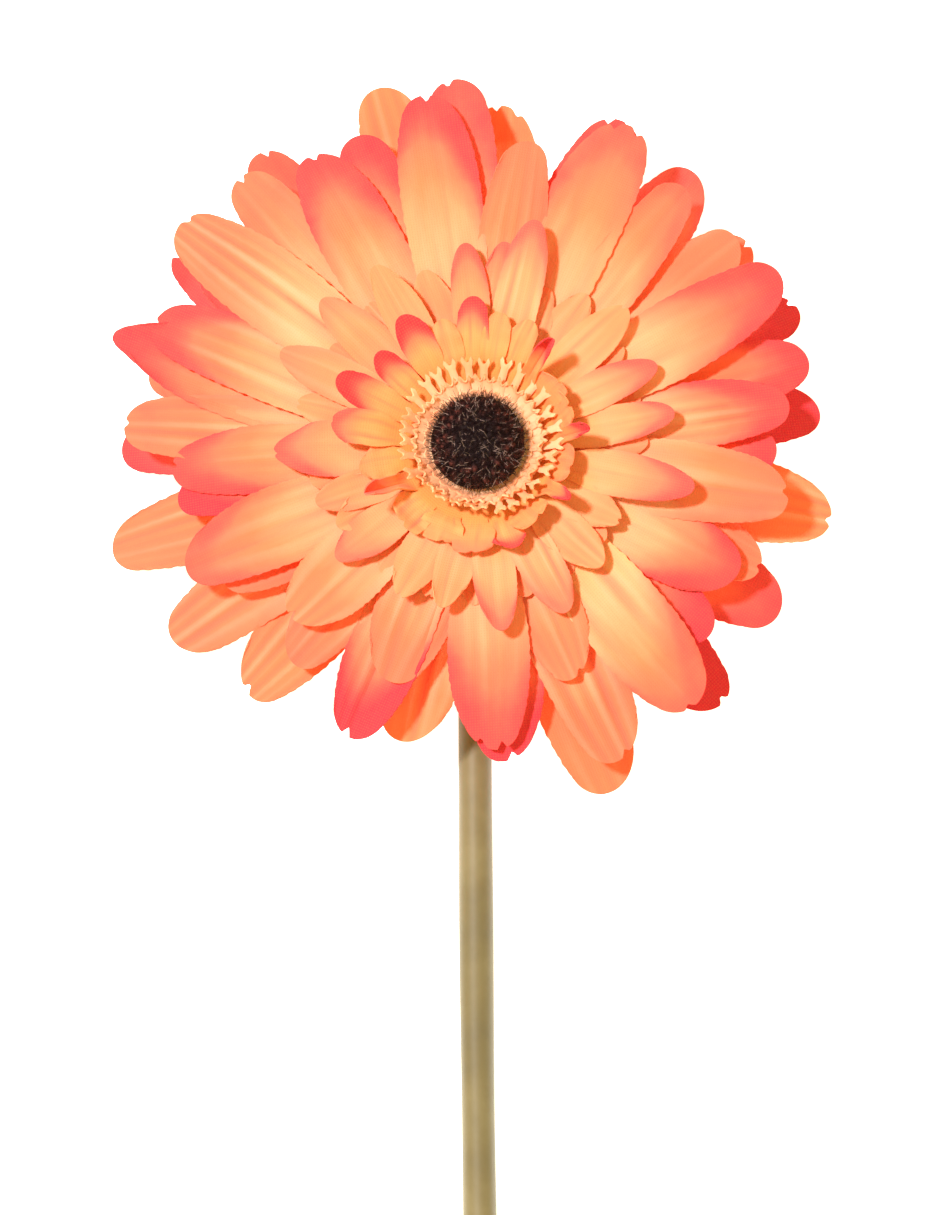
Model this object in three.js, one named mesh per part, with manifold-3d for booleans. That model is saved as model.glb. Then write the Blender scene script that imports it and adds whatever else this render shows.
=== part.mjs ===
// An artificial cut gerbera, lying face up on a flat surface.
//
// The flower head is a stack of die-cut fabric whorls threaded on a plastic post, with moulded
// floret rings and a flocked button on top and a moulded calyx underneath. The stem is a plastic
// sleeve over a steel wire, bent at the neck. Millimetres, +Z up, stem towards -Y.
import * as THREE from "three";
import { mergeVertices } from "three/addons/utils/BufferGeometryUtils.js";
import Module from "manifold-3d";

const wasm = await Module();
wasm.setup();

// ---------- driving dimensions ----------
const GAP = 0.35; // clearance left between pieces that touch on the real flower
const FABRIC = 0.5; // thickness of a petal whorl
const SHEET = 0.6; // thickness of a moulded calyx leaf

const STEM_REACH = 402; // from the head's axis to the cut end, along the surface
const STEM_RADIUS = 2.7;
const WIRE_RADIUS = 1.1;
const STEM_BOW = 17; // how far the cut end lies to one side
const NECK_ADVANCE = 15; // how far along the surface the neck's bend takes
const NECK_EASE = 6; // how long the stem holds its direction at each end of that bend
const NECK_SIDESTEP = 1.8; // how far to the left the bend takes it

const HEAD_TILT = THREE.MathUtils.degToRad(9); // the head leans back, away from the stem
const HEAD_LEAN = THREE.MathUtils.degToRad(4); // and a little to the left
const NECK_DROP = 6.2; // height of the neck above the stem's centre line

const POST_RADIUS = 1.6;
const POST_TOP = 10.2; // above the back whorl's hub, along the head's axis
const CALYX_LENGTH = 10.5; // from the back whorl's hub to the calyx's mouth
const CALYX_RADIUS = 7.5;
const CALYX_WALL = 0.75; // wall of the socket round the stem
const SOCKET_DEPTH = 5;
const CALYX_WEB = 0.6; // between the post's seat and the stem's socket

const HUB_PITCH = 1.1; // one whorl to the next, at the hub
const HUB_BORDER = 0.8; // how far past the button's edge the hubs stay flat
const SLIT_BORDER = 2; // how far past the flat hub the petals are slit apart
const CUP_BORDER = 5.5; // the same for the innermost whorl, which stays whole for longer
const BRACT_PITCH = 1.2; // one ring of calyx leaves to the next, at the hub
const HUB_SIDES = 20;
const FLOOR_CLEARANCE = 0.02; // under the fabric where a drooping petal lies on the surface

const BUTTON_RADIUS = 7.2;
const BUTTON_HEIGHT = 4.6;
const RING_THICKNESS = 0.8;
const FLORETS = 30;

// ---------- derived places ----------
const axis = new THREE.Vector3(-Math.tan(HEAD_LEAN), Math.tan(HEAD_TILT), 1).normalize();
const neckHeight = STEM_RADIUS + NECK_DROP;
const hubHeight = neckHeight + CALYX_LENGTH * axis.z;
const head = new THREE.Vector3(0, 0, hubHeight);
const headTurn = new THREE.Quaternion().setFromUnitVectors(new THREE.Vector3(0, 0, 1), axis);
const bore = POST_RADIUS + GAP;
const hubFlat = BUTTON_RADIUS + HUB_BORDER;
const postFoot = -CALYX_LENGTH + SOCKET_DEPTH + CALYX_WEB + GAP;

// ---------- materials ----------
const material = (color, roughness, metalness = 0) =>
  new THREE.MeshStandardMaterial({ color, roughness, metalness });
const petalFabric = material(0xfd9a66, 0.8);
const innerFabric = material(0xfdc184, 0.8);
const floretPlastic = material(0xf8bf98, 0.5);
const flock = material(0x241818, 0.95);
const stemPlastic = material(0xa4935f, 0.6);
const calyxPlastic = material(0x8f9450, 0.6);
const postPlastic = material(0xd8d2b0, 0.5);
const steel = material(0x8a8a88, 0.35, 1);

// ---------- solids ----------
// A geometry as a manifold solid, and back again.
function solid(geometry) {
  const bare = geometry.index ? geometry.toNonIndexed() : geometry.clone();
  bare.deleteAttribute("normal");
  bare.deleteAttribute("uv");
  const merged = mergeVertices(bare, 1e-4);
  return new wasm.Manifold(
    new wasm.Mesh({
      numProp: 3,
      vertProperties: merged.attributes.position.array,
      triVerts: new Uint32Array(merged.index.array),
    }),
  );
}

// Pockets sealed between merged petals are solid: only outer skins are kept.
function geometryOf(manifold) {
  const skins = manifold.decompose().filter((skin) => skin.volume() > 0);
  const mesh = wasm.Manifold.compose(skins).getMesh();
  const geometry = new THREE.BufferGeometry();
  geometry.setAttribute("position", new THREE.BufferAttribute(mesh.vertProperties, 3));
  geometry.setIndex(new THREE.BufferAttribute(mesh.triVerts, 1));
  geometry.computeVertexNormals();
  return geometry;
}

// A body of revolution about the head's axis from its [radius, height] profile.
function turned(profile, sides) {
  const points = profile.map(([r, z]) => new THREE.Vector2(r, z));
  return new THREE.LatheGeometry(points, sides).rotateX(Math.PI / 2);
}

// A round rod through stations of { at, along }, each ring square to the rod.
function rod(stations, radius, sides) {
  const geometry = new THREE.CylinderGeometry(radius, radius, 1, sides, stations.length - 1);
  const place = geometry.attributes.position;
  for (let i = 0; i < place.count; i++) {
    const { at, along } = stations[Math.round((0.5 - place.getY(i)) * (stations.length - 1))];
    const side = new THREE.Vector3(1, 0, 0).addScaledVector(along, -along.x).normalize();
    const up = new THREE.Vector3().crossVectors(along, side);
    const point = at.clone().addScaledVector(side, place.getX(i)).addScaledVector(up, place.getZ(i));
    place.setXYZ(i, point.x, point.y, point.z);
  }
  return geometry;
}

// ---------- the stem's line ----------
const neck = head.clone().addScaledVector(axis, -CALYX_LENGTH);
const landing = new THREE.Vector3(
  neck.x - NECK_SIDESTEP,
  neck.y - NECK_ADVANCE,
  STEM_RADIUS,
);
const bend = new THREE.CubicBezierCurve3(
  neck,
  neck.clone().addScaledVector(axis, -NECK_EASE),
  landing.clone().add(new THREE.Vector3(0, NECK_EASE, 0)),
  landing,
);
const run = new THREE.CubicBezierCurve3(
  landing,
  new THREE.Vector3(landing.x, -0.35 * STEM_REACH, STEM_RADIUS),
  new THREE.Vector3(0.1 * STEM_BOW, -0.7 * STEM_REACH, STEM_RADIUS),
  new THREE.Vector3(STEM_BOW, -STEM_REACH, STEM_RADIUS),
);

// Stations from inside the calyx, round the bend and along the surface to the cut end.
function stemStations(intoCalyx) {
  const tip = { at: neck.clone().addScaledVector(axis, intoCalyx), along: axis.clone().negate() };
  const onCurve = (curve, steps) =>
    Array.from({ length: steps }, (_, i) => {
      const t = (i + 1) / steps;
      return { at: curve.getPoint(t), along: curve.getTangent(t) };
    });
  const mouth = { at: neck, along: tip.along };
  return [tip, mouth, ...onCurve(bend, 7), ...onCurve(run, 10)];
}

const sleeveEnd = SOCKET_DEPTH - GAP;
const sleeve = solid(rod(stemStations(sleeveEnd), STEM_RADIUS, 12));
const throughEnds = stemStations(sleeveEnd + 1);
const last = throughEnds[throughEnds.length - 1];
throughEnds.push({ at: last.at.clone().addScaledVector(last.along, 1), along: last.along });
const stemSleeve = sleeve.subtract(solid(rod(throughEnds, WIRE_RADIUS + GAP, 8)));
const stemWire = rod(stemStations(sleeveEnd), WIRE_RADIUS, 8);

// ---------- petals ----------
// Half the width of a petal at a share s of its length: a narrow claw, widest at "belly",
// then easing to "blunt", the share of its width left at the tip.
function halfWidth(s, petal) {
  const { wide, claw, belly, blunt } = petal;
  const swell = s < belly ? Math.sin((Math.PI / 2) * (s / belly)) : 1;
  const ease = s > belly ? ((s - belly) / (1 - belly)) ** 2 : 0;
  return 0.5 * (claw + (wide - claw) * swell) * (1 - (1 - blunt) * ease);
}

// Everything from here to the assembly is in the head's own frame, with +Z along its axis.

// How high a whorl stands at a distance from the axis.
function whorlHeight(whorl, r) {
  const f = Math.max(0, (r - hubFlat) / (whorl.span - hubFlat));
  return whorl.hub + whorl.lift * f + whorl.bow * 4 * f * (1 - f);
}

// The lowest that a point of fabric can be before it lies on the surface under the flower.
function floorHeight(x, y, thickness) {
  const down = new THREE.Vector3(0, 0, 1).applyQuaternion(headTurn.clone().invert());
  return (thickness / 2 + FLOOR_CLEARANCE - hubHeight - down.x * x - down.y * y) / down.z;
}

// The middle surface of a petal, at a share s of its length and t from -1 to 1 across it.
function petalPoint(whorl, petal, s, t) {
  const root = whorl.rim - 1;
  const roundTip = petal.round * petal.wide * t * t * s ** 6;
  const out = root + (petal.reach - root) * s - roundTip;
  const across = halfWidth(s, petal) * t;
  const turn = THREE.MathUtils.degToRad(petal.at);
  const x = out * Math.cos(turn) - across * Math.sin(turn);
  const y = out * Math.sin(turn) + across * Math.cos(turn);
  const z = whorlHeight(whorl, out) + whorl.cup * t * t * s * (1.6 - s);
  return new THREE.Vector3(x, y, Math.max(z, floorHeight(x, y, whorl.thickness)));
}

function petalSolid(whorl, petal) {
  const { across, along } = whorl.mesh;
  const geometry = new THREE.BoxGeometry(2, 1, whorl.thickness, across, along, 1);
  const place = geometry.attributes.position;
  for (let i = 0; i < place.count; i++) {
    const point = petalPoint(whorl, petal, place.getY(i) + 0.5, -place.getX(i));
    place.setXYZ(i, point.x, point.y, point.z + place.getZ(i));
  }
  return solid(geometry);
}

// The disc that joins a whorl's petals, with its hole for the post.
function hubSolid(whorl) {
  const radii = whorl.rim > hubFlat ? [bore, hubFlat, whorl.rim] : [bore, whorl.rim];
  const top = radii.map((r) => [r, whorlHeight(whorl, r) + whorl.thickness / 2]);
  const under = radii.map((r) => [r, whorlHeight(whorl, r) - whorl.thickness / 2]);
  return solid(turned([...under, ...top.reverse(), under[0]], HUB_SIDES));
}

function whorlGeometry(whorl) {
  const petals = whorl.petals.map(([at, reach, wide]) =>
    petalSolid(whorl, { ...whorl.shape, at, reach, wide }),
  );
  return geometryOf(petals.reduce((sum, petal) => sum.add(petal), hubSolid(whorl)));
}

// Each petal is [direction in degrees from +X, reach from the axis, width].
const FRONT_PETALS = [
  [9, 48, 10.5], [29, 53.5, 12], [52, 52, 9.5], [67, 56.5, 13.5], [82, 49, 10], [99, 57.5, 12.5],
  [120, 54.5, 12.5], [142, 60, 12.5], [158, 55.5, 11.5], [182, 48, 10.5], [201, 49, 12],
  [223, 39, 12], [248, 38.5, 12], [273, 46.5, 12.5], [293, 38.5, 10], [310, 51.5, 13.5],
  [333, 44, 12.5], [350, 48, 12],
];
const MIDDLE_PETALS = [
  [17, 52.5, 11], [40, 52, 11], [69, 57.5, 12.5], [95, 60.5, 12], [112, 55, 11],
  [131, 58.5, 10.5], [146, 53.5, 10.5], [164, 61, 13], [174, 56, 11], [187, 47.5, 10],
  [206, 44.5, 11], [227, 43.5, 11], [245, 48.5, 12.5], [275, 48, 13], [294, 52, 12.5],
  [321, 45.5, 11], [339, 46.5, 11], [359, 45.5, 11],
];
const BACK_PETALS = [
  [10, 52.5, 11], [27, 54.5, 10.5], [40, 54, 10], [54, 57, 12.5], [87, 57.5, 12.5],
  [105, 62.5, 12.5], [125, 61.5, 10.5], [147, 60, 12], [163, 55, 11], [176, 57.5, 11],
  [192, 60, 12.5], [209, 56, 12.5], [224, 51.5, 13], [255, 45.5, 13], [292, 55, 14.5],
  [313, 52.5, 13], [332, 51.5, 12.5], [351, 54.5, 13],
];
const UPPER_SHORT_PETALS = [
  [8, 30.5, 6], [25, 30, 6], [43, 31, 7], [75, 36, 7.2], [93, 31.5, 6], [119, 32, 6.5],
  [136, 33.5, 7], [154, 34, 7], [181, 31.5, 9], [200, 26.5, 6], [220, 28, 7], [243, 26.5, 7],
  [260, 26, 6.2], [277, 29.5, 6.6], [297, 29.5, 7], [314, 27, 7], [330, 25, 6.4], [348, 34, 7.2],
];
const LOWER_SHORT_PETALS = [
  [1, 26, 6.2], [19, 26, 6.2], [36, 27, 7], [55, 29, 7], [67, 27, 6], [84, 32, 6.2], [107, 29, 7],
  [127, 28.5, 6.6], [146, 28, 7], [167, 29, 7], [190, 26.5, 7], [209, 25, 6.6], [231, 24.5, 6.6],
  [251, 24.5, 6.4], [268, 24.5, 6.4], [287, 24.5, 6.4], [306, 24.5, 6.4], [323, 24.5, 6.4],
];
const CUP_PETALS = [
  [4, 17.5, 4.6], [21, 15.2, 6.2], [37, 15.4, 6], [53, 19, 5], [68, 20.5, 4.6], [81, 20.5, 4.4],
  [93, 22.5, 5], [108, 20, 5], [121, 22.5, 5.4], [139, 20.5, 4.4], [156, 23.5, 5.2],
  [172, 22.5, 5.6], [190, 18.5, 5.4], [208, 19, 5], [226, 17, 6.8], [247, 16.4, 7.2],
  [268, 17.2, 6.8], [287, 17.6, 5.6], [305, 15.6, 6.4], [327, 17.5, 4.6], [346, 15.2, 6.2],
];
const bracts = (count, start, reach, wide) =>
  Array.from({ length: count }, (_, i) => [start + (i * 360) / count, reach, wide]);

const longPetal = { claw: 2.6, belly: 0.62, blunt: 0.72, round: 0.34 };
const shortPetal = { claw: 2.6, belly: 0.5, blunt: 0.55, round: 0.3 };
const cupPetal = { claw: 3.6, belly: 0.4, blunt: 0.6, round: 0.3 };
const bract = { claw: 3, belly: 0.3, blunt: 0.25, round: 0.1 };
const longMesh = { across: 2, along: 4 };
const shortMesh = { across: 2, along: 2 };
const leafMesh = { across: 1, along: 2 };
const cloth = { thickness: FABRIC, rim: hubFlat + SLIT_BORDER };
const long = { ...cloth, shape: longPetal, mesh: longMesh, surface: petalFabric };
const short = { ...cloth, shape: shortPetal, mesh: shortMesh, surface: innerFabric };
const cup = { ...cloth, rim: hubFlat + CUP_BORDER, shape: cupPetal, mesh: shortMesh, surface: innerFabric };
const leaf = {
  thickness: SHEET, rim: hubFlat, shape: bract, mesh: leafMesh, surface: calyxPlastic,
};

// Each whorl's height at its hub, then how far above that it stands at "span" from the axis,
// how far it arches over a straight line between, and how far its petals' edges stand up.
const whorl = (kind, petals, hub, lift, span, bow, cupping) =>
  ({ ...kind, petals, hub, lift, span, bow, cup: cupping });
const whorls = {
  outer_bracts: whorl(leaf, bracts(12, 10, 14, 3.6), -2 * BRACT_PITCH, -2.2, 14, 0, 0),
  inner_bracts: whorl(leaf, bracts(12, 25, 17, 3.8), -BRACT_PITCH, -1.6, 17, 0, 0),
  back_whorl: whorl(long, BACK_PETALS, 0, -11, 56, 2.5, 0.5),
  middle_whorl: whorl(long, MIDDLE_PETALS, HUB_PITCH, -2.5, 52, 1.8, 0.4),
  front_whorl: whorl(long, FRONT_PETALS, 2 * HUB_PITCH, -0.5, 52, 2, 0.4),
  lower_short_whorl: whorl(short, LOWER_SHORT_PETALS, 3 * HUB_PITCH, 2.8, 31, 0.2, 0.3),
  upper_short_whorl: whorl(short, UPPER_SHORT_PETALS, 4 * HUB_PITCH, 4.4, 31, 0.2, 0.3),
  cup_whorl: whorl(cup, CUP_PETALS, 5 * HUB_PITCH, 7, 23, 0, 0.3),
};

// ---------- floret rings ----------
// A forked floret lying along +X from the origin: a strap that ends in two points.
function floretShape(length, wide) {
  const half = wide / 2;
  const fork = 0.72 * length;
  return new THREE.Shape([
    new THREE.Vector2(0, -0.6 * half),
    new THREE.Vector2(fork, -0.7 * half),
    new THREE.Vector2(length, -1.6 * half),
    new THREE.Vector2(0.86 * length, 0),
    new THREE.Vector2(length, 1.6 * half),
    new THREE.Vector2(fork, 0.7 * half),
    new THREE.Vector2(0, 0.6 * half),
  ]);
}

// A flat ring at height "foot" carrying forked florets that rise outwards at "slope".
function floretRing({ foot, outer, from, length, wide, slope, start }) {
  const top = foot + RING_THICKNESS;
  const ring = turned([[bore, foot], [outer, foot], [outer, top], [bore, top], [bore, foot]], HUB_SIDES);
  let made = solid(ring);
  for (let i = 0; i < FLORETS; i++) {
    const floret = new THREE.ExtrudeGeometry(floretShape(length, wide), {
      depth: 0.5,
      bevelEnabled: false,
    });
    floret.rotateY(-slope);
    floret.translate(from, 0, foot + 0.15);
    floret.rotateZ(start + (i * 2 * Math.PI) / FLORETS);
    made = made.add(solid(floret));
  }
  return geometryOf(made);
}

const outerRingFoot = 5 * HUB_PITCH + FABRIC / 2 + GAP;
const innerRingFoot = outerRingFoot + RING_THICKNESS + GAP;
const buttonFoot = innerRingFoot + RING_THICKNESS + GAP;
const outerFlorets = floretRing({
  foot: outerRingFoot, outer: BUTTON_RADIUS + 1.1, from: BUTTON_RADIUS + 0.7, length: 6.4, wide: 1.1,
  slope: THREE.MathUtils.degToRad(38), start: 0,
});
const innerFlorets = floretRing({
  foot: innerRingFoot, outer: BUTTON_RADIUS + 0.9, from: BUTTON_RADIUS + 0.45, length: 4.6, wide: 0.8,
  slope: THREE.MathUtils.degToRad(52), start: Math.PI / FLORETS,
});

// ---------- button, post and calyx ----------
function button() {
  const rise = BUTTON_HEIGHT - 1.2;
  const dome = [];
  for (let i = 0; i <= 5; i++) {
    const a = (i / 5) * (Math.PI / 2);
    dome.push([BUTTON_RADIUS * Math.cos(a), buttonFoot + 1.2 + rise * Math.sin(a)]);
  }
  const seat = POST_TOP + GAP;
  dome[5][0] = 0;
  return turned([[0, seat], [bore, seat], [bore, buttonFoot], [BUTTON_RADIUS, buttonFoot], ...dome], 20);
}

const post = turned([[0, postFoot], [POST_RADIUS, postFoot], [POST_RADIUS, POST_TOP], [0, POST_TOP]], 16);

function calyxCup() {
  const socket = STEM_RADIUS + GAP;
  const outside = socket + CALYX_WALL;
  const mouth = -CALYX_LENGTH;
  const top = -2 * BRACT_PITCH - SHEET / 2 - GAP;
  const seat = postFoot - GAP;
  const ceiling = mouth + SOCKET_DEPTH;
  return turned(
    [
      [0, ceiling], [socket, ceiling], [socket, mouth], [outside, mouth],
      [outside + 0.25, ceiling], [0.72 * CALYX_RADIUS, (ceiling + top) / 2 - 0.4],
      [CALYX_RADIUS, top - 0.8], [CALYX_RADIUS, top],
      [bore, top], [bore, seat], [0, seat],
    ],
    16,
  );
}

// ---------- assembly ----------
const flower = new THREE.Group();
const add = (parent, name, geometry, surface) => {
  const mesh = new THREE.Mesh(geometry, surface);
  mesh.name = name;
  parent.add(mesh);
};

add(flower, "stem_sleeve", geometryOf(stemSleeve), stemPlastic);
add(flower, "stem_wire", stemWire, steel);
const onAxis = new THREE.Group();
onAxis.position.copy(head);
onAxis.quaternion.copy(headTurn);
flower.add(onAxis);
for (const [name, made] of Object.entries(whorls)) {
  add(onAxis, name, whorlGeometry(made), made.surface);
}
add(onAxis, "calyx_cup", calyxCup(), calyxPlastic);
add(onAxis, "centre_post", post, postPlastic);
add(onAxis, "outer_floret_ring", outerFlorets, floretPlastic);
add(onAxis, "inner_floret_ring", innerFlorets, floretPlastic);
add(onAxis, "flocked_button", button(), flock);

// The origin is at the middle of the flower's outline, on the surface it lies on.
flower.updateMatrixWorld(true);
const extent = new THREE.Box3().setFromObject(flower, true);
const middle = extent.getCenter(new THREE.Vector3());
flower.position.set(-middle.x, -middle.y, -extent.min.z);

export default flower;
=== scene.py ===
# %% [markdown]
# # An artificial cut gerbera
# A silk gerbera is a stack of die-cut cloth rings threaded on a plastic post. Pressed cloth
# petals, moulded florets and a flocked button make the head, and a plastic sleeve over a steel
# wire makes the stem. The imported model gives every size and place, so this script only makes
# the surfaces that the eye sees.

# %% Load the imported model
import math
import random

import bmesh
import bpy
from mathutils import Matrix, Vector, geometry


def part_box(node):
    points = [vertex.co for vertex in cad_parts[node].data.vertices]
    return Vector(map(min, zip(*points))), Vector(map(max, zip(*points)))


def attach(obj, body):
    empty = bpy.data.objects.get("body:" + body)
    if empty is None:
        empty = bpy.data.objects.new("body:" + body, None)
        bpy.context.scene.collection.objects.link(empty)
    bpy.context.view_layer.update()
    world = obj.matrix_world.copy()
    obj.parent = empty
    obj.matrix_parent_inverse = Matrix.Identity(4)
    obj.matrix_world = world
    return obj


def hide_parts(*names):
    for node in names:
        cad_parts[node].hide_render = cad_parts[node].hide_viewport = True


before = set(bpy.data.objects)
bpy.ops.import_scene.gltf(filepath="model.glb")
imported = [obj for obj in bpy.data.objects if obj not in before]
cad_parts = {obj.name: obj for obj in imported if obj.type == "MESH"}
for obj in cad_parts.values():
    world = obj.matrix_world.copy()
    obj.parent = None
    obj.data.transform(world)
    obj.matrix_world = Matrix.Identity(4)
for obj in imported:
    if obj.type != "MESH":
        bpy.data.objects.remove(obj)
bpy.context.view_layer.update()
MM = 0.001

# %% [markdown]
# ## Where things are
# The head leans back from the stem and a little to the left, so its pieces are made upright in
# the head's own frame, in millimetres, and then turned into place. The centre post stands on
# the head's axis, and the middle of its box is a known height up that axis.

# %% The head's own frame
HEAD_TILT = math.radians(9)
HEAD_LEAN = math.radians(4)
CALYX_LENGTH = 10.5
SOCKET_DEPTH = 5.0  # of the hole that takes the stem
CALYX_WEB = 0.6  # between that hole and the post's seat
GAP = 0.35  # between pieces that touch on the real flower
POST_FOOT = -CALYX_LENGTH + SOCKET_DEPTH + CALYX_WEB + GAP
POST_TOP = 10.2
POST_MIDDLE = (POST_FOOT + POST_TOP) / 2  # up the axis from the back whorl's hub, in mm
axis = Vector((-math.tan(HEAD_LEAN), math.tan(HEAD_TILT), 1)).normalized()
head_turn = Vector((0, 0, 1)).rotation_difference(axis).to_matrix()


def middle_of(node):
    low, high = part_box(node)
    return (Vector(low) + Vector(high)) / 2


head = middle_of("centre_post") - axis * POST_MIDDLE * MM


def from_head(x, y, z):
    return head + head_turn @ Vector((x, y, z)) * MM


def floor_height(x, y, above):
    """The height, in the head's frame, of the point that is "above" mm over the surface."""
    down = head_turn.row[2]
    return (above - head.z / MM - down[0] * x - down[1] * y) / down[2]


print("head at", [round(c / MM, 1) for c in head], "mm")

# %% Pieces and how they are kept
shown = {}


def keep(bm, name, replaces=(), smooth=True):
    """Makes an object of a bmesh, and says what it rides on and what it stands for."""
    mesh = bpy.data.meshes.new(name)
    bm.to_mesh(mesh)
    bm.free()
    if smooth:
        mesh.shade_smooth()
    piece = bpy.data.objects.new(name, mesh)
    bpy.context.collection.objects.link(piece)
    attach(piece, "root")
    if replaces:
        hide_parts(*replaces)
    shown[name] = piece
    print(name, len(mesh.polygons), "faces")
    return piece


SHARP_EDGE = math.radians(55)


def thicken(piece, thickness, offset=0.0):
    """Gives a sheet its thickness, with the cut edges kept sharp to the eye."""
    wall = piece.modifiers.new("Thickness", "SOLIDIFY")
    wall.thickness = thickness * MM
    wall.offset = offset
    wall.use_rim = True
    seen = piece.evaluated_get(bpy.context.evaluated_depsgraph_get())
    solid = bpy.data.meshes.new_from_object(seen)
    piece.modifiers.clear()
    piece.data = solid
    solid.set_sharp_from_angle(angle=SHARP_EDGE)
    return piece


# %% [markdown]
# ## The camera
# A long lens high above the flower looks straight down on it, as it would over a table. It is
# aimed below the head, so that the head is in the upper half and the stem runs out of the
# bottom of the picture.

# %% Camera
LENS = 200.0
SENSOR = 36.0
SEEN_TALL = 186.0  # mm of the head's plane from the top to the bottom of the picture
AIM = Vector((-1.2, -25.2))  # from the button to the middle of the picture, in mm
button_centre = middle_of("flocked_button")
camera_data = bpy.data.cameras.new("camera")
camera_data.lens = LENS
camera_data.sensor_width = SENSOR
camera = bpy.data.objects.new("camera", camera_data)
camera.location = (
    button_centre.x + AIM.x * MM,
    button_centre.y + AIM.y * MM,
    button_centre.z + SEEN_TALL * MM * LENS / SENSOR,
)
bpy.context.collection.objects.link(camera)
bpy.context.scene.camera = camera
print("camera", [round(c, 3) for c in camera.location])

# %% [markdown]
# ## The shape of a petal whorl
# Each whorl is one piece of cloth: petals joined at a hub, slit apart from each other further
# out, and pressed in a hot mould that gives the ridges. Each petal is a grid whose rows run out
# from the post. Up to the hub's rim a petal is a wedge that shares its sides with its
# neighbours, and beyond it takes its own outline.

# %% Rows, columns and small curves
BORE = 1.95  # radius of the hole that takes the post, in mm
HUB_FLAT = 8.0  # radius of the flat middle of a whorl
FLOOR_GAP = 0.02  # under the cloth where a drooping petal lies on the table


def ease(x, low=0.0, high=1.0):
    f = min(1.0, max(0.0, (x - low) / (high - low)))
    return f * f * (3 - 2 * f)


def mix(a, b, f):
    return a + (b - a) * f


def turned(degrees, out, across):
    """A point "out" along a direction and "across" to its left, as x and y."""
    turn = math.radians(degrees)
    return (out * math.cos(turn) - across * math.sin(turn),
            out * math.sin(turn) + across * math.cos(turn))


def whorl_height(whorl, r):
    f = max(0.0, (r - HUB_FLAT) / (whorl["span"] - HUB_FLAT))
    return whorl["hub"] + whorl["lift"] * f + whorl["bow"] * 4 * f * (1 - f)


# %% The outline of a flat petal
NICK_WIDTH = 0.17  # of a nick in the tip, as a share of half the petal's width


def half_width(s, petal, shape):
    """Half a petal's width at a share s of its length beyond the hub."""
    swell = math.sin(math.pi / 2 * min(1.0, s / shape["belly"]))
    back = max(0.0, (s - shape["belly"]) / (1 - shape["belly"]))
    blunt = shape["blunt"] * (1 - 0.6 * petal["point"])
    return 0.5 * mix(shape["claw"], petal["wide"], swell) * (1 - (1 - blunt) * back**2.2)


def tip_line(t, petal, shape):
    """How far the tip is drawn back at t across it, from -1 to 1: a round end with nicks."""
    corner = 1 - math.sqrt(max(0.0, 1 - (0.97 * t) ** 2))
    round_end = shape["round"] * petal["round"] * petal["wide"] * corner
    nick = 0.0
    for n in petal["nicks"]:
        nick += petal["nick_depth"] * max(0.0, 1 - abs(t - n) / NICK_WIDTH)
    return round_end + nick + petal["skew"] * t


def fray(s, petal):
    """The cut edge's small waves, as a share of the petal's width."""
    phase = petal["phase"]
    return 0.02 * math.sin(9 * s + phase) + 0.012 * math.sin(140 * s + 3 * phase) \
        + 0.007 * math.sin(83 * s + 5 * phase)


def flat_point(whorl, petal, s, t):
    """A petal's point in its flat cloth, with s from 0 at the hub's rim to 1 at the tip."""
    shape = whorl["shape"]
    rim = whorl["rim"]
    wedge = math.radians(petal["left"] if t > 0 else petal["right"])
    if s < 0:
        r = mix(BORE, rim, 1 + s)
        return r * math.cos(t * wedge), r * math.sin(t * wedge)
    free = ease(s, 0.0, shape["joined"])
    tip = tip_line(t, petal, shape) * s**5
    out = rim * mix(math.cos(t * wedge), 1, free) + (petal["reach"] - rim) * s - tip
    width = half_width(s, petal, shape) * (1 + fray(s, petal))
    return out, mix(rim * math.sin(t * wedge), t * width, free)


# %% The rise, curl and pleats of a petal
VEIN_WIDTH = 0.08  # of a pressed vein, as a share of half the petal's width
SIDE_VEIN = 0.42  # where the side veins run, as a share of the same


def pleats(s, t, petal):
    """Pressed pleats that run out from the claw, no two petals with quite the same."""
    phase = petal["phase"]
    line = t * (0.85 + 0.25 * s) + 0.06 * math.sin(4 * s + phase) + petal["off_line"]
    wide = math.cos(math.tau * (1.15 * line + 0.19 * phase))
    narrow = math.cos(math.tau * ((2.3 + 0.4 * math.sin(phase)) * line + 0.3 * phase + 0.15 * s))
    along = 0.5 + 0.5 * math.sin(5 * s + 2 * phase)
    side_veins = math.exp(-(((abs(line) - SIDE_VEIN) / VEIN_WIDTH) ** 2)) * along
    vein = math.exp(-((line / VEIN_WIDTH) ** 2)) * (1 - 0.4 * along) + 0.8 * side_veins
    return 0.3 * wide + 0.5 * narrow * along * (1 - t**4) - 0.8 * vein + 0.15


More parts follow.
